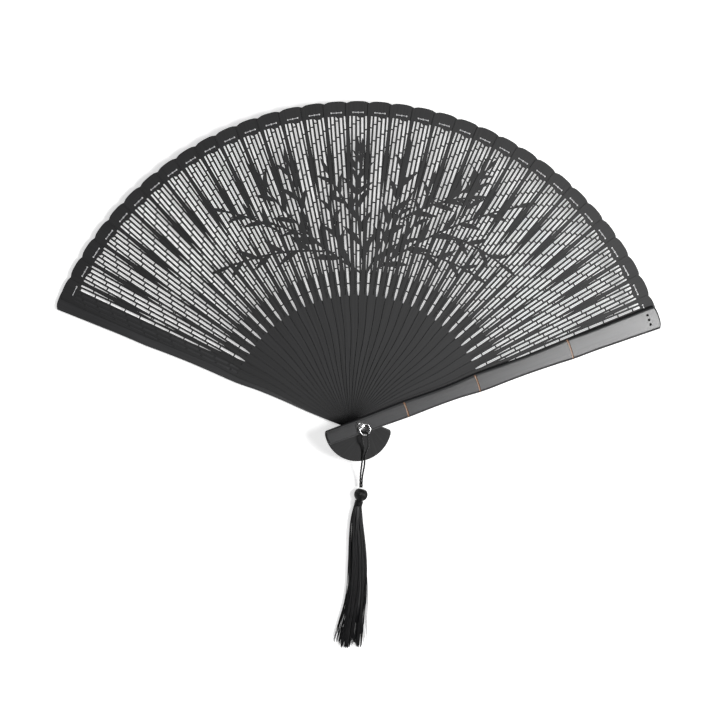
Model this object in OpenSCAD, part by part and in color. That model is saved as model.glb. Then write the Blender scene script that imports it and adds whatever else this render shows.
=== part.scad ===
// Folding hand fan of the brise kind: slotted blades and two guards turning on one rivet,
// with a silk tassel on a ring. It lies open on a table, rear guard down.
// Origin: the rivet axis at the table plane. +Z is up along the rivet, +Y is the middle of the fan.

/* [Fan] */
// Distance from the rivet axis to the blade tips
reach = 188.5; // [170:0.5:205]
// Distance from the rivet axis to the tail ends
tail = 21.5; // [18:0.5:24]
// Angle between the two guards when the fan is open
open_angle = 137; // [120:1:150]
// Direction of the front guard, counted from +X
front_angle = 19.9; // [10:0.1:30]
// Angle between a guard and the blade next to it
edge_gap = 2.0; // [1:0.1:4]

/* [Blades] */
// Thickness of a blade
blade_t = 0.4; // [0.3:0.05:0.6]
// Air left between stacked blades
air = 0.1; // [0.1:0.05:0.2]
// Width of a blade at the rivet
blade_root_w = 9.1; // [8.6:0.1:9.6]
// Width of a blade at the tip
blade_tip_w = 14.8; // [14.2:0.1:15.2]
// How far the corners of a blade tip fall back
tip_fall = 1.8; // [1:0.1:2.5]

/* [Slots] */
// Distance between the columns of slots
column_pitch = 2.43; // [2.3:0.01:2.6]
// Width of a slot
slot_w = 1.3; // [1:0.1:1.9]
// Distance between the bridges along a column
row_pitch = 9.45; // [8:0.05:11]
// Length of a bridge between two slots
bridge = 0.8; // [0.5:0.1:1]
// How much further out each column sits than the one on its left
stair = 2.07; // [1:0.01:3]
// Where the slots start
slot_start = 76.3; // [70:0.1:85]
// Distance from the blade tips to the end of the slots
slot_margin = 8.8; // [8:0.1:14]
// Solid rail left along a blade's edge
rail = 0.5; // [0.4:0.05:0.8]

/* [Guards] */
// Thickness of a guard
guard_t = 2.2; // [1.8:0.1:3]
// Width of a guard at the rivet
guard_root_w = 8.8; // [8.4:0.1:9.4]
// Width of a guard at the tip
guard_tip_w = 14.4; // [13.8:0.1:15]
// Depth of the carved node lines
groove_depth = 0.25; // [0.1:0.05:0.5]
// Width of the carved node lines
groove_w = 0.8; // [0.5:0.1:1.2]

/* [Thread holes] */
// Diameter of a thread hole
thread_hole_d = 0.9; // [0.6:0.1:1.2]
// Distance between the three thread holes
thread_hole_gap = 2.9; // [2:0.05:3.2]
// Distance from the tips to the thread holes
thread_hole_in = 6.6; // [5.5:0.1:7]

/* [Rivet] */
// Diameter of the rivet pin
pin_d = 3.0; // [2.5:0.1:3.4]
// Radial clearance around the pin
pin_clearance = 0.1; // [0.05:0.01:0.1]
// Diameter of the flush head under the rear guard
head_d = 6.4; // [5:0.1:7]
// Thickness of the flush head
head_t = 0.8; // [0.6:0.1:1]
// Diameter of the washer on the front guard
washer_d = 6.2; // [5.5:0.1:6.4]
// Wire diameter of the rivet's eye
eye_wire_d = 0.9; // [0.7:0.1:1]

/* [Ring and tassel] */
// Mean diameter of the jump ring
ring_d = 6.2; // [5.6:0.1:6.6]
// Wire diameter of the jump ring
ring_wire_d = 0.75; // [0.6:0.05:0.8]
// Diameter of the silk cord
cord_d = 1.0; // [0.8:0.1:1]
// Diameter of the tassel's ball head
ball_d = 8; // [7:0.5:8]
// Diameter of the thread binding under the ball
binding_d = 4.9; // [4:0.1:5.5]
// Length of the thread binding
binding_l = 2.6; // [2:0.1:4]

/* [Hidden] */
blade_count = 34;
blade_step = (open_angle - 2 * edge_gap) / (blade_count - 1);
layer = blade_t + air;
rear_angle = front_angle + open_angle;
front_z = guard_t + air + blade_count * layer;
stack_top = front_z + guard_t;
node_lines = [28.5, 73.2, 131.9];
outline_step = 6;
groove_arc = 40;
bore_r = pin_d / 2 + pin_clearance;
recess_gap = 0.15;
gap = 0.05;
cut = 1;

// Stack of parts on the front end of the rivet
washer_t = 0.4;
washer_z = stack_top + gap;
pin_top = washer_z + washer_t + gap;
collar_t = 0.5;
collar_r = 2.2;
eye_r = 1.3;
eye_z = pin_top + gap + eye_r + eye_wire_d / 2;
ring_z = eye_z + 0.15;
ring_heading = -42;
ring_slack = 0.35;
ring_split = 4;
ring_x = (ring_d / 2 - ring_slack) * cos(ring_heading);
ring_y = (ring_d / 2 - ring_slack) * sin(ring_heading);

// First radius of the slots in each column, counted from the left column
column_start = [116, slot_start, slot_start, 88, 116];
shortest_slot = 1.2;
slot_point = 0.9;
top_slant = 1.2;
outer_column_in = 4.2;
outer_column_out = 5.1;
slot_end = reach - slot_margin;
first_bridge = reach - 11.3;

// Half width along a stick, with the swellings of a bamboo stalk at the node lines: [radius, half width]
blade_profile = [
  [-tail, 4.15], [0, blade_root_w / 2], [28.5, 5], [52, 4.1], [62, 4.3], [73, 5.15], [80, 4.9],
  [90, 4.5], [98, 4.6], [106, 4.95], [114, 5.35], [124, 5.9], [134, 6.4], [150, 6.75],
  [165, 7.05], [reach, blade_tip_w / 2]
];
guard_profile = [
  [-tail, 4.3], [0, guard_root_w / 2], [28.5, 4.95], [45, 4.65], [60, 4.8], [75, 5.7], [92, 5.5],
  [106, 5.5], [120, 5.9], [132, 6.4], [145, 6.35], [157, 6.55], [171, 6.85],
  [reach, guard_tip_w / 2]
];

// Bamboo spray that the slots leave solid, in the frame of the open fan.
// A sprig is [x, y, heading, turn along its stem, stem length, leaves, leaf length].
stem_w = 1.3;
stem_steps = 6;
leaf_points = 5;
leaf_slimness = 0.21;
leaf_bow = 0.9;
leaf_spread = 35;
last_leaf_at = 0.96;
leaf_taper = 0.25;
sprigs = [
  [2, 88, 150, -25, 84, 10, 17],
  [-20, 101, 175, 30, 56, 7, 16],
  [-30, 118, 120, -20, 36, 5, 15],
  [-46, 112, 150, 20, 34, 6, 14],
  [3, 90, 100, -12, 68, 9, 17],
  [0, 118, 128, -10, 34, 5, 15],
  [4, 88, 62, 18, 72, 9, 17],
  [24, 120, 32, -30, 42, 6, 16],
  [6, 88, 38, -28, 96, 11, 17],
  [48, 112, -15, -25, 40, 5, 15],
  [60, 121, 62, 10, 28, 5, 14],
  [30, 101, -5, -30, 38, 5, 15],
  [-8, 96, 118, -34, 44, 6, 13],
  [12, 92, 78, -20, 40, 6, 13],
  [20, 100, 50, 24, 46, 7, 13],
  [-14, 98, 140, 26, 40, 6, 12],
  [-4, 128, 70, 20, 30, 5, 14],
  [44, 128, 20, 30, 36, 6, 13]
];

// Route of the silk cord, from one side of the ball, through the ring and back.
loop_r = 1.7;
loop_y = ring_y - ring_d / 2 - 0.2;
loop_low = 22.6;
loop_rise = 2.5;
loop_x = ring_x;
left_strand = [
  [2.2, -37.7, 4.1],
  [2.2, -34.5, 4.5],
  [2.1, -31, 5.9],
  [2.0, -27.7, 8.2],
  [2.0, -24.8, 10.6],
  [2.1, -22, 12.0],
  [2.3, -19, 12.4],
  [2.6, -16, 12.9],
  [2.6, -13, 14.7],
  [1.8, -10.3, 18],
  [0.8, -7.7, 21]
];
right_strand = [
  [4.1, -7.7, 22.6],
  [4.7, -10.3, 20.2],
  [4.8, -12.8, 17.7],
  [4.3, -15, 15.5],
  [3.8, -17.2, 13.8],
  [3.6, -19.6, 12.6],
  [3.7, -22.2, 11.7],
  [3.7, -24.9, 10],
  [3.5, -27.7, 7.8],
  [3.3, -31, 5.6],
  [3.25, -34.5, 4.3],
  [3.25, -37.7, 4.1]
];
loop_turn = [
  for (a = [180:-22.5:0])
    [loop_x + loop_r * cos(a), loop_y + loop_r * sin(a), loop_low + loop_rise * (1 + cos(a)) / 2]
];
cord_route = concat(left_strand, loop_turn, right_strand);
cord_sides = 8;

// The tassel: ball centre, and the direction in which the neck leaves it
ball = [2.7, -41.8, ball_d / 2 + gap];
neck_turn = -14.5;
neck_dip = 8;
// Stations of the skirt: [x, y, half width, height]
skirt_stations = [
  [1.0, -49, 2.7, 4.9],
  [0.6, -53, 3.5, 5.2],
  [0.5, -58, 4.2, 5.2],
  [0.8, -67, 5.0, 5.0],
  [1.1, -77, 5.7, 4.8],
  [1.3, -88, 6.1, 4.5],
  [1.1, -98, 6.2, 4.2],
  [0.0, -108, 6.3, 3.8],
  [-1.3, -118, 7.2, 3.3],
  [-3.4, -132, 8.8, 2.6]
];
skirt_sides = 14;

function blade_name(i) = str("blade_", i < 10 ? "0" : "", i);

// ---- Shared outline of blades and guards, running along +Y from the rivet ----

function piece(table, r, i = 0) =
  i >= len(table) - 2 || r < table[i + 1][0] ? i : piece(table, r, i + 1);

function slope(table, i) =
  let (span = table[min(i + 1, len(table) - 1)] - table[max(i - 1, 0)])
  span[1] / span[0];

// Smooth curve through a table's points
function half_width(table, r) =
  let (
    i = piece(table, r),
    span = table[i + 1] - table[i],
    t = (r - table[i][0]) / span[0],
    ease = t * t * (3 - 2 * t)
  )
  table[i][1] + span[1] * ease
  + span[0] * t * (1 - t) * ((1 - t) * slope(table, i) - t * slope(table, i + 1));

side_stations = [for (r = [outline_step - tail:outline_step:reach - outline_step]) r];
end_steps = [-1, -0.85, -0.6, -0.3, 0, 0.3, 0.6, 0.85, 1];

function end_fall(u) = tip_fall * (0.2 * u * u + 0.8 * pow(u, 4));

function outline(table) = concat(
  [for (r = side_stations) [half_width(table, r), r]],
  [for (u = end_steps) [-u * half_width(table, reach), reach - end_fall(u)]],
  [for (i = [len(side_stations) - 1:-1:0]) [-half_width(table, side_stations[i]), side_stations[i]]],
  [for (u = end_steps) [u * half_width(table, -tail), end_fall(u) * 0.8 - tail]]
);

module thread_holes() {
  for (i = [-1:1])
    translate([i * thread_hole_gap, reach - thread_hole_in]) circle(d = thread_hole_d, $fn = 24);
}

// ---- Slots of one blade ----

function column_edge(c, r) =
  abs(c) < 2 ? abs(c) * column_pitch + slot_w / 2
  : min(outer_column_out, half_width(blade_profile, r) - rail);

function column_inner(c) =
  c == 0 ? -slot_w / 2 : abs(c) < 2 ? column_pitch - slot_w / 2 : outer_column_in;

// One slot in column c from radius a to radius b. The middle column's first slot has a pointed
// foot, and its last one a slanted top.
module slot(c, a, b) {
  side = c < 0 ? -1 : 1;
  foot = c == 0 && a == column_start[2] ? [[0, a - slot_point]] : [];
  slant = c == 0 && b == slot_end ? top_slant : 0;
  polygon(concat(
    foot,
    [[side * column_edge(c, a), a], [side * column_edge(c, b), b - slant]],
    [[side * column_inner(c), b], [side * column_inner(c), a]]
  ));
}

module slots() {
  rows = ceil((slot_end - slot_start) / row_pitch) + 1;
  for (c = [-2:2], k = [-1:rows]) {
    top = first_bridge + c * stair - k * row_pitch;
    a = max(top - row_pitch + bridge / 2, column_start[c + 2]);
    b = min(top - bridge / 2, slot_end);
    if (b - a >= shortest_slot)
      slot(c, a, b);
  }
}

// ---- Bamboo spray, left solid between the slots ----

function turned(p, a) = [p[0] * cos(a) - p[1] * sin(a), p[0] * sin(a) + p[1] * cos(a)];

function leaf_half(t) = pow(sin(180 * pow(t, 0.8)), 0.9);

// Point at share t of a sprig's stem, which turns evenly along its length
function stem_point(f, t, aside = 0) =
  let (p = turned([t * f[4], f[4] * t * t * f[3] / 2 * PI / 180 + aside], f[2]))
  [f[0] + p[0], f[1] + p[1]];

function stem_outline(f) = [
  for (n = [0:2 * stem_steps + 1])
    let (
      back = n > stem_steps,
      t = (back ? 2 * stem_steps + 1 - n : n) / stem_steps
    )
    stem_point(f, t, (back ? stem_w : -stem_w) / 2)
];

// Leaf k of a sprig. Leaves stand on alternate sides, and the last one points on past the stem.
function leaf_outline(f, k) =
  let (
    share = last_leaf_at * k / f[5],
    side = k == f[5] ? 0 : k % 2 == 0 ? 1 : -1,
    root = stem_point(f, share),
    heading = f[2] + f[3] * share + side * leaf_spread,
    length = f[6] * (1 - leaf_taper * share)
  )
  [
    for (n = [0:2 * leaf_points - 1])
      let (
        back = n > leaf_points,
        t = (back ? 2 * leaf_points - n : n) / leaf_points,
        half = leaf_half(t) * length * leaf_slimness / 2,
        p = turned([t * length, -side * leaf_bow * sin(180 * t) + (back ? half : -half)], heading)
      )
      [root[0] + p[0], root[1] + p[1]]
  ];

spray = concat(
  [for (f = sprigs) stem_outline(f)],
  [for (f = sprigs, k = [1:f[5]]) leaf_outline(f, k)]
);

function crosses_blade(points) =
  min([for (p = points) p[0]]) < blade_tip_w / 2 && max([for (p = points) p[0]]) > -blade_tip_w / 2
  && max([for (p = points) p[1]]) > slot_start;

// The spray as one blade sees it, turned into that blade's own frame
module spray_over(angle) {
  for (points = spray) {
    here = [for (p = points) turned(p, 90 - angle)];
    if (crosses_blade(here))
      polygon(here);
  }
}

// ---- Nodes ----

function blade_angle(i) = rear_angle - edge_gap - (i - 1) * blade_step;
function blade_z(i) = guard_t + air + (i - 1) * layer;

module blade(i) {
  color([0.20, 0.20, 0.21])
  translate([0, 0, blade_z(i)])
  rotate([0, 0, blade_angle(i) - 90])
  linear_extrude(blade_t)
  difference() {
    polygon(outline(blade_profile));
    difference() {
      slots();
      spray_over(blade_angle(i));
    }
    thread_holes();
    circle(r = bore_r, $fn = 48);
  }
}

// The carved lines are arcs on the outer face, which is at face_z
module node_grooves(face_z) {
  for (r = node_lines)
    translate([0, r - groove_arc, face_z - groove_depth])
    difference() {
      cylinder(r = groove_arc + groove_w / 2, h = 2 * groove_depth, $fn = 96);
      translate([0, 0, -cut])
      cylinder(r = groove_arc - groove_w / 2, h = 2 * groove_depth + 2 * cut, $fn = 96);
      translate([0, -groove_arc, 0])
      cube([4 * groove_arc, 3 * groove_arc, 4 * cut], center = true);
    }
}

module guard(angle, z, face_z) {
  color([0.27, 0.27, 0.28])
  translate([0, 0, z])
  rotate([0, 0, angle - 90])
  difference() {
    linear_extrude(guard_t)
    difference() {
      polygon(outline(guard_profile));
      thread_holes();
      circle(r = bore_r, $fn = 48);
    }
    node_grooves(face_z);
    children();
  }
}

module rear_guard() {
  guard(rear_angle, 0, 0)
  translate([0, 0, -cut])
  cylinder(r = head_d / 2 + recess_gap, h = head_t + recess_gap + cut, $fn = 48);
}

module front_guard() {
  guard(front_angle, front_z, guard_t);
}

module rivet_pin() {
  color([0.78, 0.79, 0.80])
  union() {
    cylinder(d = head_d, h = head_t, $fn = 48);
    cylinder(d = pin_d, h = pin_top, $fn = 48);
  }
}

module front_washer() {
  color([0.10, 0.10, 0.10])
  translate([0, 0, washer_z])
  difference() {
    cylinder(d = washer_d, h = washer_t, $fn = 48);
    translate([0, 0, -cut])
    cylinder(r = bore_r, h = washer_t + 2 * cut, $fn = 48);
  }
}

module wire_ring(radius, wire, angle) {
  rotate_extrude(angle = angle, $fn = 64)
  translate([radius, 0])
  circle(d = wire, $fn = 24);
}

// Collar on the pin's end with an upright eye that the jump ring runs through
module rivet_eye() {
  color([0.85, 0.86, 0.87])
  union() {
    translate([0, 0, pin_top])
    cylinder(r = collar_r, h = collar_t, $fn = 48);
    translate([0, 0, eye_z])
    rotate([90, 0, ring_heading])
    wire_ring(eye_r, eye_wire_d, 360);
  }
}

module jump_ring() {
  color([0.82, 0.83, 0.84])
  translate([ring_x, ring_y, ring_z])
  rotate([0, 0, 60])
  wire_ring(ring_d / 2, ring_wire_d, 360 - ring_split);
}

function unit(v) = v / norm(v);

// Closed tube along a route, its rings standing square to the way it runs
module tube(route, diameter, sides) {
  last = len(route) - 1;
  points = [
    for (i = [0:last])
      let (
        along = unit(route[min(i + 1, last)] - route[max(i - 1, 0)]),
        across = unit(cross(along, [0.05, 0.1, 1])),
        up = cross(across, along)
      )
      for (k = [0:sides - 1])
        route[i] + diameter / 2 * (cos(360 * k / sides) * across + sin(360 * k / sides) * up)
  ];
  walls = [
    for (i = [0:last - 1], k = [0:sides - 1])
      let (n = (k + 1) % sides)
      for (face = [
        [i * sides + k, (i + 1) * sides + k, i * sides + n],
        [i * sides + n, (i + 1) * sides + k, (i + 1) * sides + n]
      ])
        face
  ];
  polyhedron(points, concat(
    [[for (k = [0:sides - 1]) k]],
    walls,
    [[for (k = [sides - 1:-1:0]) last * sides + k]]
  ));
}

module tassel_cord() {
  color([0.05, 0.05, 0.05]) tube(cord_route, cord_d, cord_sides);
}

module tassel_head() {
  color([0.07, 0.07, 0.07]) translate(ball) sphere(d = ball_d, $fn = 64);
}

module tassel_binding() {
  color([0.05, 0.05, 0.05])
  translate(ball)
  rotate([90 + neck_dip, 0, neck_turn])
  translate([0, 0, ball_d / 2 + gap])
  cylinder(d = binding_d, h = binding_l, $fn = 48);
}

// Bundle of silk threads, lying on the table: oval rings that flatten towards the end
module tassel_skirt() {
  last = len(skirt_stations) - 1;
  points = [
    for (s = skirt_stations, k = [0:skirt_sides - 1])
      let (a = 360 * k / skirt_sides)
      [s[0] + s[2] * cos(a), s[1], gap + s[3] / 2 * (1 + sin(a))]
  ];
  walls = [
    for (i = [0:last - 1], k = [0:skirt_sides - 1])
      let (n = (k + 1) % skirt_sides)
      for (face = [
        [i * skirt_sides + k, (i + 1) * skirt_sides + k, i * skirt_sides + n],
        [i * skirt_sides + n, (i + 1) * skirt_sides + k, (i + 1) * skirt_sides + n]
      ])
        face
  ];
  color([0.06, 0.06, 0.06])
  polyhedron(points, concat(
    [[for (k = [0:skirt_sides - 1]) k]],
    walls,
    [[for (k = [skirt_sides - 1:-1:0]) last * skirt_sides + k]]
  ));
}

rear_guard();
for (i = [1:blade_count])
  blade(i);
front_guard();
rivet_pin();
front_washer();
rivet_eye();
jump_ring();
tassel_cord();
tassel_head();
tassel_binding();
tassel_skirt();
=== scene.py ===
"""Looks of the folding hand fan: an open brise fan on a pale table, seen from above."""
import math
import random

import bpy
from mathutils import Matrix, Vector


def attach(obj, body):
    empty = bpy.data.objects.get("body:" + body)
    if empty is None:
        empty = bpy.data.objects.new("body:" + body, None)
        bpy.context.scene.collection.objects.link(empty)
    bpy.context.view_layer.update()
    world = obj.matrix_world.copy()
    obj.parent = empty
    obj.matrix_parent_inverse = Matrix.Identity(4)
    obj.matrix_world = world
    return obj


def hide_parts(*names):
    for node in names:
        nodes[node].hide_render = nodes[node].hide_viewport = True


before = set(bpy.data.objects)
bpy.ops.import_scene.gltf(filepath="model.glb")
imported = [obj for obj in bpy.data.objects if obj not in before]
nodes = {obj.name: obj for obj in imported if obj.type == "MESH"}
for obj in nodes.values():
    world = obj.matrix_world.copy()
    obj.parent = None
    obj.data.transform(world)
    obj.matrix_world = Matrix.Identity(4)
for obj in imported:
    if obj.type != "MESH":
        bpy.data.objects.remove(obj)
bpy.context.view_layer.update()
mm = 0.001

# Sizes that repeat those of the CAD source, in millimetres and degrees
REACH = 188.5
TAIL = 21.5
REAR_ANGLE = 156.9
FRONT_ANGLE = 19.9
FIRST_BLADE_ANGLE = 154.9
BLADES = 34
BLADE_STEP = 133 / 33
BLADE_T = 0.4
LAYER = 0.5
FIRST_BLADE_Z = 2.3
GUARD_T = 2.2
FRONT_Z = 19.3
NODE_LINES = (28.5, 73.2, 131.9)
GROOVE_ARC = 40
GROOVE_DEPTH = 0.25
HOLE_GAP = 2.9
HOLE_IN = 6.6
BORE_R = 1.6
HEAD_RECESS_R = 3.35
HEAD_RECESS_T = 0.95
TIP_FALL = 1.8
GUARD_PROFILE = (
    (-TAIL, 4.3), (0, 4.4), (28.5, 4.95), (45, 4.65), (60, 4.8), (75, 5.7), (92, 5.5),
    (106, 5.5), (120, 5.9), (132, 6.4), (145, 6.35), (157, 6.55), (171, 6.85), (REACH, 7.2),
)
PIN_TOP = 22.0
EYE_Z = 23.8
EYE_R = 1.3
EYE_WIRE = 0.45
RING_HEADING = -42
RING_Z = 23.95
RING_R = 3.1
RING_OUT = 2.75
RING_WIRE = 0.375
CORD_D = 1.0
BALL = (2.7, -41.8, 4.05)
BALL_R = 4.0
NECK_TURN = -14.5
BINDING_R = 2.45
BINDING_L = 2.6

LEFT_STRAND = (
    (2.2, -37.7, 4.1), (2.2, -34.5, 4.5), (2.1, -31, 5.9), (2.0, -27.7, 8.2), (2.0, -24.8, 10.6),
    (2.1, -22, 12.0), (2.3, -19, 12.4), (2.6, -16, 12.9), (2.6, -13, 14.7),
    (1.8, -10.3, 18), (0.8, -7.7, 21),
)
RIGHT_STRAND = (
    (4.1, -7.7, 22.6), (4.7, -10.3, 20.2), (4.8, -12.8, 17.7), (4.3, -15, 15.5),
    (3.8, -17.2, 13.8), (3.6, -19.6, 12.6), (3.7, -22.2, 11.7), (3.7, -24.9, 10),
    (3.5, -27.7, 7.8), (3.3, -31, 5.6), (3.25, -34.5, 4.3), (3.25, -37.7, 4.1),
)
LOOP_R = 1.7
LOOP_X = RING_OUT * math.cos(math.radians(RING_HEADING))
LOOP_Y = RING_OUT * math.sin(math.radians(RING_HEADING)) - RING_R - 0.2
LOOP_LOW = 22.6
LOOP_RISE = 2.5
LOOP_STEP = 22.5

# Skirt of the tassel without its stray threads: x, y, half width, height
SKIRT = (
    (1.35, -46.2, 2.0, 4.0), (1.0, -49, 2.6, 4.9), (0.6, -53, 3.4, 5.2), (0.5, -58, 4.1, 5.2),
    (0.8, -67, 4.9, 5.0), (1.1, -77, 5.6, 4.8), (1.3, -88, 6.0, 4.5), (1.1, -98, 6.1, 4.2),
    (0.0, -108, 6.2, 3.8), (-1.3, -118, 6.8, 3.3), (-2.9, -132, 7.7, 2.6),
)


# ---- Camera, above the table and a little to the left ----

camera_data = bpy.data.cameras.new("camera")
camera = bpy.data.objects.new("camera", camera_data)
bpy.context.scene.collection.objects.link(camera)
camera.location = (-0.1979, 0.1106, 1.4)
camera.rotation_euler = [math.radians(a) for a in (-3.023, -8.116, 0.384)]
camera_data.lens = 120.31
camera_data.sensor_width = 36
camera_data.clip_start = 0.05
bpy.context.scene.camera = camera
bpy.context.scene.view_settings.view_transform = "Standard"


# ---- Helpers ----

def smooth_table(table, r):
    """Cubic curve through a table's points, the same as the CAD source draws."""
    i = 0
    while i < len(table) - 2 and r >= table[i + 1][0]:
        i += 1

    def slope(k):
        a = table[max(k - 1, 0)]
        b = table[min(k + 1, len(table) - 1)]
        return (b[1] - a[1]) / (b[0] - a[0])

    run = table[i + 1][0] - table[i][0]
    rise = table[i + 1][1] - table[i][1]
    t = (r - table[i][0]) / run
    bend = run * t * (1 - t) * ((1 - t) * slope(i) - t * slope(i + 1))
    return table[i][1] + rise * t * t * (3 - 2 * t) + bend


def add_mesh(name, points, faces, smooth=True):
    mesh = bpy.data.meshes.new(name)
    mesh.from_pydata([Vector(p) * mm for p in points], [], faces)
    mesh.validate()
    mesh.update()
    for face in mesh.polygons:
        face.use_smooth = smooth
    piece = bpy.data.objects.new(name, mesh)
    bpy.context.scene.collection.objects.link(piece)
    return piece


def dress(piece, material, body, slot, *replaced):
    piece.data.materials.clear()
    piece.data.materials.append(material)
    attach(piece, body)
    if replaced:
        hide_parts(*replaced)
    return piece


def spline(points, spacing):
    """Catmull-Rom curve through the points, resampled at about the given spacing."""
    line = [Vector(p) for p in points]
    fine = []
    for i in range(len(line) - 1):
        p0 = line[max(i - 1, 0)]
        p1 = line[i]
        p2 = line[i + 1]
        p3 = line[min(i + 2, len(line) - 1)]
        for k in range(24):
            t = k / 24
            fine.append(0.5 * (2 * p1 + (p2 - p0) * t + (2 * p0 - 5 * p1 + 4 * p2 - p3) * t * t
                               + (3 * p1 - p0 - 3 * p2 + p3) * t ** 3))
    fine.append(line[-1])
    lengths = [0.0]
    for a, b in zip(fine, fine[1:]):
        lengths.append(lengths[-1] + (b - a).length)
    count = max(2, round(lengths[-1] / spacing))
    out = []
    j = 0
    for k in range(count + 1):
        want = lengths[-1] * k / count
        while j < len(fine) - 2 and lengths[j + 1] < want:
            j += 1
        span = lengths[j + 1] - lengths[j]
        out.append(fine[j].lerp(fine[j + 1], min(1, (want - lengths[j]) / span if span else 0)))
    return out


def frames(line):
    """A direction and two square axes at each point, carried along without twist."""
    side = None
    out = []
    for i, p in enumerate(line):
        along = (line[min(i + 1, len(line) - 1)] - line[max(i - 1, 0)]).normalized()
        if side is None:
            side = along.orthogonal().normalized()
        side = (side - along * side.dot(along)).normalized()
        out.append((p, side, along.cross(side)))
    return out


def tube_faces(rings, sides):
    """Faces of a closed tube whose points come ring by ring."""
    faces = []
    last = rings - 1
    for i in range(last):
        for k in range(sides):
            n = (k + 1) % sides
            faces.append((i * sides + k, i * sides + n, (i + 1) * sides + n, (i + 1) * sides + k))
    faces.append(tuple(range(sides - 1, -1, -1)))
    faces.append(tuple(last * sides + k for k in range(sides)))
    return faces


def tube(line, sides, radius):
    """Points and faces of a closed tube. radius(share, turn) gives its radius at a point."""
    points = []
    last = len(line) - 1
    for i, (p, u, v) in enumerate(frames(line)):
        for k in range(sides):
            a = 2 * math.pi * k / sides
            r = radius(i / last, a)
            points.append(p + u * (r * math.cos(a)) + v * (r * math.sin(a)))
    return points, tube_faces(len(line), sides)


def gather(parts):
    """Joins several sets of points and faces into one."""
    points = []
    faces = []
    for some_points, some_faces in parts:
        start = len(points)
        points.extend(some_points)
        faces.extend(tuple(start + i for i in f) for f in some_faces)
    return points, faces


def lathe(profile, sides, place):
    """Closed surface of revolution. profile is (radius, height) from pole to pole; place(r, a, h)."""
    points = [place(0, 0, profile[0][1])]
    faces = []
    for r, h in profile[1:-1]:
        points.extend(place(r, 2 * math.pi * k / sides, h) for k in range(sides))
    points.append(place(0, 0, profile[-1][1]))
    rings = len(profile) - 2
    for k in range(sides):
        n = (k + 1) % sides
        faces.append((0, 1 + k, 1 + n))
        for j in range(rings - 1):
            a = 1 + j * sides
            faces.append((a + k, a + sides + k, a + sides + n, a + n))
        faces.append((len(points) - 1, 1 + (rings - 1) * sides + n, 1 + (rings - 1) * sides + k))
    return points, faces


def turned(x, y, angle):
    c = math.cos(math.radians(angle))
    s = math.sin(math.radians(angle))
    return x * c - y * s, x * s + y * c


# ---- Materials ----

class Nodes:
    """A material's node tree, with short calls to add and join nodes."""

    def __init__(self, name):
        self.material = bpy.data.materials.new(name)
        self.material.use_nodes = True
        self.tree = self.material.node_tree
        self.shader = self.tree.nodes["Principled BSDF"]

    def add(self, kind, **values):
        node = self.tree.nodes.new("ShaderNode" + kind)
        for key, value in values.items():
            if hasattr(node, key):
                setattr(node, key, value)
            else:
                node.inputs[key.replace("_", " ")].default_value = value
        return node

    def join(self, source, target):
        self.tree.links.new(source, target)

    def place(self, turn=0, stretch=(1, 1, 1), shift=(0, 0, 0)):
        """Coordinates of the object, turned to lie along a stick and stretched."""
        coordinates = self.add("TexCoord")
        turn_map = self.add("Mapping")
        turn_map.vector_type = "POINT"
        turn_map.inputs["Rotation"].default_value = (0, 0, math.radians(turn))
        self.join(coordinates.outputs["Object"], turn_map.inputs["Vector"])
        scale_map = self.add("Mapping")
        scale_map.inputs["Scale"].default_value = stretch
        scale_map.inputs["Location"].default_value = shift
        self.join(turn_map.outputs["Vector"], scale_map.inputs["Vector"])
        return scale_map.outputs["Vector"]

    def noise(self, vector, scale, detail=4.0, roughness=0.55):
        node = self.add("TexNoise")
        node.inputs["Scale"].default_value = scale
        node.inputs["Detail"].default_value = detail
        node.inputs["Roughness"].default_value = roughness
        self.join(vector, node.inputs["Vector"])
        return node.outputs["Fac"]

    def ramp(self, value, *stops):
        node = self.add("ValToRGB")
        node.color_ramp.elements.remove(node.color_ramp.elements[1])
        node.color_ramp.elements[0].position = stops[0][0]
        node.color_ramp.elements[0].color = (*stops[0][1], 1)
        for position, colour in stops[1:]:
            node.color_ramp.elements.new(position).color = (*colour, 1)
        self.join(value, node.inputs["Fac"])
        return node.outputs["Color"]

    def span(self, value, low, high, start=0.0, end=1.0):
        node = self.add("MapRange")
        node.inputs["From Min"].default_value = start
        node.inputs["From Max"].default_value = end
        node.inputs["To Min"].default_value = low
        node.inputs["To Max"].default_value = high
        self.join(value, node.inputs["Value"])
        return node.outputs["Result"]

    def mix(self, factor, a, b):
        node = self.add("Mix", data_type="RGBA")
        self.join(factor, node.inputs["Factor"])
        for socket, value in ((node.inputs[6], a), (node.inputs[7], b)):
            if isinstance(value, tuple):
                socket.default_value = (*value, 1)
            else:
                self.join(value, socket)
        return node.outputs[2]

    def bump(self, height, strength, distance, under=None):
        node = self.add("Bump")
        node.inputs["Strength"].default_value = strength
        node.inputs["Distance"].default_value = distance
        self.join(height, node.inputs["Height"])
        if under is not None:
            self.join(under, node.inputs["Normal"])
        return node.outputs["Normal"]

    def use(self, **sockets):
        for key, value in sockets.items():
            socket = self.shader.inputs[key.replace("_", " ")]
            if hasattr(value, "is_linked"):
                self.join(value, socket)
            else:
                socket.default_value = value
        return self.material


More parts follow.
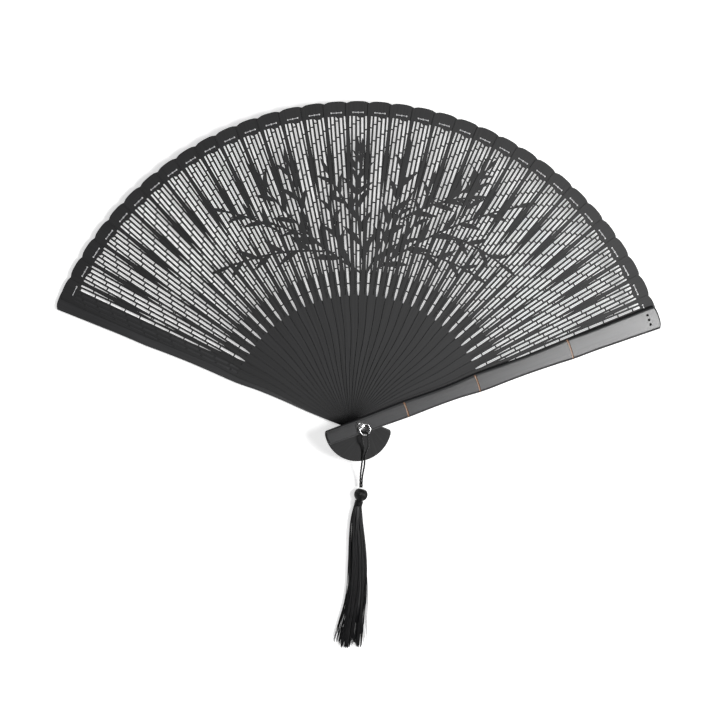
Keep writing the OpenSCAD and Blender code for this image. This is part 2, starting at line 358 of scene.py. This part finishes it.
def stained_wood(name, angle, seed, dark, light, rough):
    """Black-stained bamboo with fine lengthwise grain, in the frame of one stick."""
    n = Nodes(name)
    along = 90 - angle
    fine = n.noise(n.place(along, (1, 0.03, 1), (seed * 0.37, 0, 0)), 2600, 5)
    fibre = n.noise(n.place(along, (1, 0.012, 1), (seed * 0.11, seed, 0)), 900, 3)
    cloud = n.noise(n.place(along, (1, 0.35, 1), (0, seed * 0.7, 0)), 60, 3)
    grain = n.ramp(fibre, (0.3, dark), (0.55, light), (0.75, dark))
    shade = n.ramp(cloud, (0.3, dark), (0.7, light))
    half = n.add("Value")
    half.outputs[0].default_value = 0.5
    colour = n.mix(half.outputs[0], grain, shade)
    normal = n.bump(fine, 0.25, 0.00005)
    normal = n.bump(fibre, 0.35, 0.00012, normal)
    return n, colour, n.span(cloud, rough - 0.05, rough + 0.07), normal


def blade_material(i, angle):
    tone = 1 + 0.12 * math.sin(i * 2.4)
    dark = (0.007 * tone, 0.007 * tone, 0.0075 * tone)
    light = (0.016 * tone, 0.016 * tone, 0.017 * tone)
    n, colour, rough, normal = stained_wood(f"blade_wood_{i:02d}", angle, i, dark, light, 0.47)
    return n.use(Base_Color=colour, Roughness=rough, Normal=normal, Specular_IOR_Level=0.26)


def guard_material(name, angle, seed, painted_shadow_below):
    """Satin lacquer over the same wood. Carved lines show brown wood. The bevels are darkened as painted
    shade, and below a given height the colour is painted shadow, near black without gloss.
    """
    n, colour, rough, normal = stained_wood(
        name, angle, seed, (0.016, 0.016, 0.017), (0.028, 0.028, 0.030), 0.30
    )
    edge = n.add("Attribute", attribute_name="edge")
    groove = n.add("Attribute", attribute_name="groove")
    # Painted shade: the bevels are darkened towards the stick's edge, in place of the dark reflection
    # they would show.
    colour = n.mix(edge.outputs["Fac"], colour, (0.005, 0.005, 0.006))
    brown = n.ramp(
        n.noise(n.place(90 - angle, (1, 1, 1)), 1800, 3),
        (0.3, (0.16, 0.075, 0.035)), (0.7, (0.36, 0.19, 0.10)),
    )
    colour = n.mix(groove.outputs["Fac"], colour, brown)
    # Painted shadow: below the given height, in the front guard's thread holes and on its lower faces,
    # the colour goes near black and coat and specular fall away.
    height = n.add("SeparateXYZ")
    n.join(n.place(), height.inputs["Vector"])
    low = n.span(height.outputs["Z"], 1, 0, painted_shadow_below * mm, (painted_shadow_below + 0.2) * mm)
    colour = n.mix(low, colour, (0.002, 0.002, 0.002))
    return n.use(
        Base_Color=colour, Roughness=rough, Normal=normal,
        Coat_Weight=n.span(low, 0.3, 0), Coat_Roughness=0.25,
        Specular_IOR_Level=n.span(low, 0.38, 0.04),
    )


def metal(name, colour, rough):
    n = Nodes(name)
    vector = n.place(0, (1, 1, 1))
    smear = n.noise(vector, 700, 3)
    scratch = n.noise(n.place(30, (1, 0.06, 1)), 4000, 2)
    tint = n.ramp(smear, (0.3, tuple(c * 0.86 for c in colour)), (0.7, colour))
    return n.use(
        Base_Color=tint, Metallic=1.0, Roughness=n.span(smear, rough, rough + 0.10),
        Normal=n.bump(scratch, 0.12, 0.00003),
    )


def silk(name, colour, rough, scale=3000):
    """Black silk thread: deep colour, a soft sheen and a fine fibre."""
    n = Nodes(name)
    vector = n.place(0, (1, 0.15, 1))
    fibre = n.noise(vector, scale, 4)
    tone = n.noise(n.place(0, (1, 0.4, 1)), 240, 2)
    tint = n.ramp(tone, (0.3, tuple(c * 0.6 for c in colour)), (0.7, colour))
    return n.use(
        Base_Color=tint, Roughness=n.span(fibre, rough, rough + 0.15), Sheen_Weight=0.04,
        Sheen_Roughness=0.4, Specular_IOR_Level=0.28, Normal=n.bump(fibre, 0.5, 0.00008),
    )


def painted(name, colour, rough):
    n = Nodes(name)
    speck = n.noise(n.place(), 1500, 4)
    tint = n.ramp(speck, (0.35, colour), (0.8, tuple(c * 2.2 for c in colour)))
    return n.use(
        Base_Color=tint, Roughness=n.span(speck, rough, rough + 0.15),
        Normal=n.bump(speck, 0.2, 0.00004),
    )


# ---- Blades: the CAD solids, each with the grain running along it ----

for i in range(1, BLADES + 1):
    blade = nodes[f"blade_{i:02d}"]
    blade.data.materials.clear()
    blade.data.materials.append(blade_material(i, FIRST_BLADE_ANGLE - BLADE_STEP * (i - 1)))


# ---- Guards: bevelled sticks with carved lines ----

ACROSS = 28
BEVEL_INNER = 1.5
BEVEL_OUTER = 0.9
BEVEL_DROP = 0.75
CROWN = 0.12
# The carved lines and the thread holes are wider than in the CAD, as they look in the photo
GROOVE_W = 1.1
GUARD_HOLE_R = 0.8
# Spacing of the mesh along a guard, finer within a zone round each line and at the ends
STATION_STEP = 1.0
END_STEP = 0.25
END_ZONE = 2.5
LINE_STEP = 0.1
LINE_ZONE = 2.4


def ease(t):
    t = max(0.0, min(1.0, t))
    return t * t * (3 - 2 * t)


def guard_stations():
    """Radii along a guard, close together at the ends and at the carved lines."""
    marks = set()
    r = -TAIL
    while r < REACH:
        marks.add(round(r, 3))
        near_line = min(abs(r - line) for line in NODE_LINES) < LINE_ZONE
        near_end = min(r + TAIL, REACH - r) < END_ZONE
        r += LINE_STEP if near_line else END_STEP if near_end else STATION_STEP
    marks.add(REACH)
    return sorted(marks)


def guard_mesh(name, angle, outer_up):
    """A guard's stick, bevelled and carved on its outer face. Its wider bevel is on the blades' side."""
    stations = guard_stations()
    u_steps = [math.sin(math.pi / 2 * (2 * k / ACROSS - 1)) for k in range(ACROSS + 1)]
    inner_side = 1 if outer_up else -1
    outer = []
    inner = []
    edge = []
    groove = []
    for r in stations:
        half = smooth_table(GUARD_PROFILE, r)
        tip_share = ease(1 - (REACH - r) / 16)
        tail_share = ease(1 - (r + TAIL) / 12)
        for u in u_steps:
            x = -u * half
            fall = TIP_FALL * (0.2 * u * u + 0.8 * u ** 4)
            y = r - fall * tip_share + fall * 0.8 * tail_share
            bow = 0.0
            for line in NODE_LINES:
                bow += (x * x / (2 * GROOVE_ARC)) * ease(1 - (abs(r - line) - 1.2) / 3)
            y -= bow
            bevel = BEVEL_INNER if x * -inner_side > 0 else BEVEL_OUTER
            side = (half - abs(x)) / bevel
            end = min(r + TAIL, REACH - r) / BEVEL_OUTER
            flat = min(side, end, 1)
            depth = BEVEL_DROP * (1 - flat) ** 1.5 + CROWN * (abs(x) / half) ** 2
            cut = 0.0
            for line in NODE_LINES:
                cut = max(cut, 1 - (abs(r - line) / (GROOVE_W / 2)) ** 4)
            carved = cut * ease(flat * 2 - 0.6)
            depth += GROOVE_DEPTH * carved
            outer.append((x, y, GUARD_T - depth))
            inner.append((x, y, 0.0))
            # Share of painted bevel shade at each point, strongest at the stick's edge.
            edge.append(1 - ease(flat * 1.35 - 0.2))
            groove.append(carved)
    columns = len(u_steps)
    rows = len(stations)
    faces = []
    base = len(outer)
    for j in range(rows - 1):
        for k in range(columns - 1):
            a = j * columns + k
            b = a + columns
            faces.append((a, b, b + 1, a + 1))
            faces.append((base + a, base + a + 1, base + b + 1, base + b))
        for k in (0, columns - 1):
            a = j * columns + k
            b = a + columns
            wall = (a, base + a, base + b, b)
            faces.append(wall if k == 0 else wall[::-1])
    for j in (0, rows - 1):
        for k in range(columns - 1):
            a = j * columns + k
            wall = (a, a + 1, base + a + 1, base + a)
            faces.append(wall if j == 0 else wall[::-1])
    z_shift = FRONT_Z if outer_up else 0
    points = []
    for x, y, z in outer + inner:
        px, py = turned(x, y, angle - 90)
        points.append((px, py, z_shift + (z if outer_up else GUARD_T - z)))
    if not outer_up:
        faces = [f[::-1] for f in faces]
    piece = add_mesh(name, points, faces)
    for label, values in (("edge", edge), ("groove", groove)):
        attribute = piece.data.attributes.new(label, "FLOAT", "POINT")
        attribute.data.foreach_set("value", values + [0.0] * len(inner))
    return piece


# Cutters reach from below the whole stack to above it
CUT_LOW = -5
CUT_HIGH = 30
# A thread hole leaves a thin floor, and from some depth down it carries painted shadow
HOLE_FLOOR = 0.4
HOLE_SHADOW_DEPTH = 1.1
SHARP_ANGLE = 35


def plug(x, y, radius, low, high, sides=32):
    """A round cutter standing on (x, y)."""
    profile = [(0, low), (radius, low), (radius, high), (0, high)]
    points, faces = lathe(
        profile, sides, lambda r, a, h: (x + r * math.cos(a), y + r * math.sin(a), h)
    )
    return points, [f[::-1] for f in faces]


def drill(piece, holes):
    """Cuts round holes in a piece and leaves the result as its mesh."""
    cutter = add_mesh(piece.name + "_cutter", *gather(holes), smooth=False)
    modifier = piece.modifiers.new("holes", "BOOLEAN")
    modifier.operation = "DIFFERENCE"
    modifier.solver = "EXACT"
    modifier.object = cutter
    bpy.context.view_layer.update()
    drilled = bpy.data.meshes.new_from_object(
        piece.evaluated_get(bpy.context.evaluated_depsgraph_get())
    )
    piece.modifiers.clear()
    piece.data = drilled
    bpy.data.objects.remove(cutter)


def thread_holes(angle, low, high):
    """Cutters for the joining thread's three holes near the tip."""
    out = []
    for k in (-1, 0, 1):
        x, y = turned(k * HOLE_GAP, REACH - HOLE_IN, angle - 90)
        out.append(plug(x, y, GUARD_HOLE_R, low, high, 20))
    return out


def build_guard(name, angle, outer_up, body, extra):
    piece = guard_mesh(name + "_stick", angle, outer_up)
    low = FRONT_Z + HOLE_FLOOR if outer_up else CUT_LOW
    high = CUT_HIGH if outer_up else GUARD_T - HOLE_FLOOR
    drill(piece, thread_holes(angle, low, high) + [plug(0, 0, BORE_R, CUT_LOW, CUT_HIGH)] + extra)
    # Below this height the front guard carries painted shadow, in its thread holes and on its lower
    # faces; the rear guard gets none.
    painted_shadow_below = FRONT_Z + GUARD_T - HOLE_SHADOW_DEPTH if outer_up else -1
    material = guard_material(name + "_lacquer", angle, angle, painted_shadow_below)
    piece.data.shade_smooth()
    piece.data.set_sharp_from_angle(angle=math.radians(SHARP_ANGLE))
    dress(piece, material, body, "guard_wood", name)


build_guard("front_guard", FRONT_ANGLE, True, "front_guard", [])
head_recess = plug(0, 0, HEAD_RECESS_R, CUT_LOW, HEAD_RECESS_T)
build_guard("rear_guard", REAR_ANGLE, False, "rear_guard", [head_recess])


# ---- Joining thread: one flat stitch through the three holes of each blade ----

STITCH_W = 0.24
STITCH_T = 0.035
STITCH_SIDES = 8
stitch_material = Nodes("nylon_thread")
stitch_twist = stitch_material.noise(stitch_material.place(), 5000, 2)
stitch_material.use(
    Base_Color=stitch_material.ramp(stitch_twist, (0.3, (0.30, 0.30, 0.31)), (0.7, (0.62, 0.62, 0.64))),
    Roughness=stitch_material.span(stitch_twist, 0.15, 0.35),
    Specular_IOR_Level=0.8,
)


def stitch(angle, top):
    """A run of thread over the blade from the first hole to the last, its ends in the holes."""
    route = [(-HOLE_GAP, -0.3), (-HOLE_GAP + 0.1, 0.02), (-HOLE_GAP + 0.5, 0.05)]
    route += [(x, 0.05 - 0.03 * math.exp(-(x / 0.5) ** 2)) for x in (-1.6, -0.8, 0, 0.8, 1.6)]
    route += [(HOLE_GAP - 0.5, 0.05), (HOLE_GAP - 0.1, 0.02), (HOLE_GAP, -0.3)]
    points = []
    for x, rise in route:
        for k in range(STITCH_SIDES):
            a = 2 * math.pi * k / STITCH_SIDES
            px, py = turned(x, REACH - HOLE_IN + STITCH_W * math.cos(a), angle - 90)
            points.append((px, py, top + rise + STITCH_T * math.sin(a)))
    return points, tube_faces(len(route), STITCH_SIDES)


for i in range(1, BLADES + 1):
    blade_angle = FIRST_BLADE_ANGLE - BLADE_STEP * (i - 1)
    blade_top = FIRST_BLADE_Z + LAYER * (i - 1) + BLADE_T
    thread = add_mesh(f"thread_stitch_{i:02d}", *stitch(blade_angle, blade_top))
    dress(thread, stitch_material.material, f"blade_{i:02d}", "silk_binding")


# ---- Rivet, eye and ring ----

RING_SIDES = 16
RING_POINTS = 72
RING_SPLIT = 4
RING_SPLIT_AT = 60
chrome = metal("polished_nickel", (0.86, 0.86, 0.87), 0.10)
nodes["rivet_pin"].data.materials.clear()
nodes["rivet_pin"].data.materials.append(metal("rivet_steel", (0.70, 0.70, 0.72), 0.22))
nodes["front_washer"].data.materials.clear()
nodes["front_washer"].data.materials.append(painted("washer_black", (0.012, 0.012, 0.012), 0.35))


def closed_ring(centre, radius, wire, heading, upright, gap=0.0, start=0.0):
    """Wire bent to a ring. A gap in degrees leaves it split."""
    line = []
    for k in range(RING_POINTS + 1):
        a = math.radians(start + gap / 2 + (360 - gap) * k / RING_POINTS)
        u = radius * math.cos(a)
        v = radius * math.sin(a)
        if upright:
            x, y = turned(u, 0, heading)
            line.append(Vector((centre[0] + x, centre[1] + y, centre[2] + v)))
        else:
            line.append(Vector((centre[0] + u, centre[1] + v, centre[2])))
    if gap:
        return tube(line, RING_SIDES, lambda s, a: wire)
    points, faces = tube(line[:-1], RING_SIDES, lambda s, a: wire)
    faces = faces[:-2]
    last = len(line) - 2
    for k in range(RING_SIDES):
        n = (k + 1) % RING_SIDES
        faces.append((last * RING_SIDES + k, last * RING_SIDES + n, n, k))
    return points, faces


collar_profile = [
    (0, PIN_TOP), (2.05, PIN_TOP), (2.2, PIN_TOP + 0.08), (2.2, PIN_TOP + 0.22),
    (2.1, PIN_TOP + 0.36), (1.8, PIN_TOP + 0.48), (1.2, PIN_TOP + 0.6), (0.6, PIN_TOP + 0.68),
    (0, PIN_TOP + 0.7),
]
collar = lathe(collar_profile, 48, lambda r, a, h: (r * math.cos(a), r * math.sin(a), h))
eye = closed_ring((0, 0, EYE_Z), EYE_R, EYE_WIRE, RING_HEADING, True)
dress(add_mesh("rivet_eye_loop", *gather([collar, eye])), chrome, "rivet", "rivet_metal", "rivet_eye")
ring_x, ring_y = turned(RING_OUT, 0, RING_HEADING)
ring = closed_ring((ring_x, ring_y, RING_Z), RING_R, RING_WIRE, 0, False, RING_SPLIT, RING_SPLIT_AT)
dress(add_mesh("jump_ring_wire", *ring), chrome, "rivet", "ring_metal", "jump_ring")


# ---- Silk cord, doubled through the ring ----

loop = []
for k in range(round(180 / LOOP_STEP) + 1):
    a = 180 - LOOP_STEP * k
    loop.append((
        LOOP_X + LOOP_R * math.cos(math.radians(a)),
        LOOP_Y + LOOP_R * math.sin(math.radians(a)),
        LOOP_LOW + LOOP_RISE * (1 + math.cos(math.radians(a))) / 2,
    ))
cord_line = spline(LEFT_STRAND + tuple(loop) + RIGHT_STRAND, 0.25)
cord_length = sum((b - a).length for a, b in zip(cord_line, cord_line[1:]))
PLIES = 3
PLY_TURNS = 34
PLY_DEPTH = 0.12


def cord_radius(share, turn):
    lobe = math.cos(PLIES * (turn - share * PLY_TURNS * 2 * math.pi / PLIES))
    return CORD_D / 2 * (0.98 + PLY_DEPTH * lobe)


silk_black = silk("black_silk_cord", (0.005, 0.005, 0.0055), 0.38)
cord = add_mesh("silk_cord", *tube(cord_line, 18, cord_radius))
dress(cord, silk_black, "rivet", "silk_cord", "tassel_cord")
[c * mm for c in LEFT_STRAND[0]]


# ---- Tassel: wound ball, whipping and skirt of loose threads ----

neck = math.radians(NECK_TURN)
neck_way = Vector((math.sin(neck), -math.cos(neck), 0))
neck_side = Vector((math.cos(neck), math.sin(neck), 0))
up = Vector((0, 0, 1))
ball_centre = Vector(BALL)

RIBS = 44
RIB_DEPTH = 0.035
BALL_RINGS = 32
DIMPLE = 1.1
DIMPLE_SPREAD = 0.42


def ball_point(r, a, h):
    """Point of the ball, its axis along the neck, ribbed like wound thread."""
    rib = 1 - RIB_DEPTH * (0.5 + 0.5 * math.cos(RIBS * a)) * min(1, r / 1.2)
    return ball_centre + neck_way * h + neck_side * (r * rib * math.cos(a)) + up * (r * rib * math.sin(a))


ball_profile = []
for k in range(BALL_RINGS + 1):
    t = math.pi * k / BALL_RINGS
    sink = DIMPLE * math.exp(-(t / DIMPLE_SPREAD) ** 2)
    ball_profile.append((BALL_R * math.sin(t), -BALL_R * math.cos(t) + sink))
head = lathe(ball_profile, RIBS * 4, ball_point)
head = (head[0], [f[::-1] for f in head[1]])
dress(
    add_mesh("tassel_ball", *head), silk("black_silk_ball", (0.005, 0.005, 0.0055), 0.33),
    "tassel", "silk_head", "tassel_head",
)

WRAPS = 8
WRAP_STEPS = 40
WRAP_WIRE = 0.2
wrap_line = []
for k in range(WRAPS * WRAP_STEPS + 1):
    a = 2 * math.pi * k / WRAP_STEPS
    h = BALL_R - 0.25 + (BINDING_L + 0.3) * k / (WRAPS * WRAP_STEPS)
    r = BINDING_R - 0.19
    wrap_line.append(
        ball_centre + neck_way * h + neck_side * (r * math.cos(a)) + up * (r * math.sin(a))
    )
wraps = tube(wrap_line, 8, lambda s, a: WRAP_WIRE)
dress(
    add_mesh("tassel_whipping", *wraps), silk("black_silk_whipping", (0.005, 0.005, 0.0055), 0.4),
    "tassel", "silk_binding", "tassel_binding",
)

random.seed(11)
STRANDS = 336
STRAND_R = 0.22
STRAND_STEPS = 12
CLUMPS = 28
clumps = []
for k in range(CLUMPS):
    clumps.append((
        2 * math.pi * (k + random.uniform(-0.25, 0.25)) / CLUMPS, random.uniform(-0.45, 0.45),
        random.uniform(0, 2 * math.pi), random.uniform(0.78, 0.98), random.uniform(0.975, 1.01),
    ))


def skirt_at(share):
    """Centre, half width and height of the skirt at a share of its length."""
    f = min(max(share, 0), 1) * (len(SKIRT) - 1)
    i = min(int(f), len(SKIRT) - 2)
    a = SKIRT[i]
    b = SKIRT[i + 1]
    x, y, half, height = [p + (q - p) * (f - i) for p, q in zip(a, b)]
    beyond = max(0, share - 1) * 80
    return x - 0.1 * beyond, y - beyond, half, height


def strand(index):
    """One thread of the skirt, from the whipping to its own end. A few stray away to either side."""
    turn, drift, wave, lift, end = clumps[index % CLUMPS]
    rho = lift + random.uniform(-0.04, 0.02) if index % 4 else random.uniform(0.15, 0.7)
    phi = turn + random.gauss(0, 0.06)
    drift += random.uniform(-0.08, 0.08)
    wave += random.uniform(-0.3, 0.3)
    end += random.uniform(-0.012, 0.008)
    lot = random.random()
    stray = 0.0
    start = random.uniform(0.45, 0.75)
    if math.cos(phi) < -0.4 and lot < 0.2:
        stray = random.uniform(-5.2, -2.6)
        end = random.uniform(0.93, 0.985)
    elif math.cos(phi) > 0.3 and lot < 0.12:
        stray = random.uniform(1.0, 2.8)
        end = random.uniform(0.88, 0.99)
    route = []
    for k in range(STRAND_STEPS + 1):
        s = end * k / STRAND_STEPS
        x, y, half, height = skirt_at(s)
        a = phi + drift * s
        away = stray * max(0, (s - start) / (1 - start)) ** 1.5
        wobble = 0.55 * s * math.sin(wave + 9 * s)
        px = x + (half - STRAND_R) * rho * math.cos(a) + wobble + away
        pz = 0.05 + height / 2 * (1 + rho * 0.9 * math.sin(a))
        route.append((px, y, max(STRAND_R + 0.06, pz)))
    line = spline(route, 3.2)
    return tube(line, 5, lambda share, a: STRAND_R * (1 - 0.35 * share ** 6))


skirt = gather([strand(i) for i in range(STRANDS)])
core_points = []
core_faces = []
CORE_SIDES = 20
for x, y, half, height in SKIRT[:-1]:
    for k in range(CORE_SIDES):
        a = 2 * math.pi * k / CORE_SIDES
        core_points.append((x + half * 0.7 * math.cos(a), y, 0.1 + height / 2 * (1 + 0.6 * math.sin(a))))
core_rows = len(SKIRT) - 1
for i in range(core_rows - 1):
    for k in range(CORE_SIDES):
        n = (k + 1) % CORE_SIDES
        core_faces.append((
            i * CORE_SIDES + k, (i + 1) * CORE_SIDES + k, (i + 1) * CORE_SIDES + n, i * CORE_SIDES + n,
        ))
core_faces.append(tuple(range(CORE_SIDES)))
core_faces.append(tuple((core_rows - 1) * CORE_SIDES + k for k in range(CORE_SIDES - 1, -1, -1)))
skirt_material = silk("black_silk_threads", (0.005, 0.005, 0.006), 0.27, 2200)
dress(
    add_mesh("tassel_threads", *gather([skirt, (core_points, core_faces)])), skirt_material,
    "tassel", "silk_skirt", "tassel_skirt",
)


# ---- Table and light ----

TABLE_HALF = 3000
TABLE_TOP = -0.2
TABLE_GLOW = 0.52
WORLD_GLOW = 0.09
corners = [
    (-TABLE_HALF, -TABLE_HALF, TABLE_TOP), (TABLE_HALF, -TABLE_HALF, TABLE_TOP),
    (TABLE_HALF, TABLE_HALF, TABLE_TOP), (-TABLE_HALF, TABLE_HALF, TABLE_TOP),
]
floor = add_mesh("table", corners, [(0, 1, 2, 3)], smooth=False)
table = Nodes("white_table")
table_fleck = table.noise(table.place(), 90, 3)
table.use(
    Base_Color=table.ramp(table_fleck, (0.3, (0.88, 0.88, 0.88)), (0.7, (0.90, 0.90, 0.90))),
    Roughness=0.8, Emission_Color=(1, 1, 1, 1), Emission_Strength=TABLE_GLOW,
)
floor.data.materials.append(table.material)

world = bpy.data.worlds.new("studio")
world.use_nodes = True
world.node_tree.nodes["Background"].inputs["Color"].default_value = (1, 1, 1, 1)
world.node_tree.nodes["Background"].inputs["Strength"].default_value = WORLD_GLOW
bpy.context.scene.world = world


def softbox(name, place, target, size, power):
    """A square lamp facing the target. Places and size are in metres, power in watts."""
    light = bpy.data.lights.new(name, "AREA")
    light.shape = "SQUARE"
    light.size = size
    light.energy = power
    lamp = bpy.data.objects.new(name, light)
    lamp.location = place
    lamp.rotation_euler = (Vector(target) - Vector(place)).to_track_quat("-Z", "Y").to_euler()
    bpy.context.scene.collection.objects.link(lamp)


softbox("key_light", (0.62, 0.04, 1.2), (0.10, 0.05, 0), 0.45, 13)
softbox("fill_light", (-0.5, 0.9, 1.3), (0, 0.05, 0), 0.9, 4.5)
softbox("low_light", (0.1, -0.9, 1.1), (0, 0, 0), 0.8, 3.5)
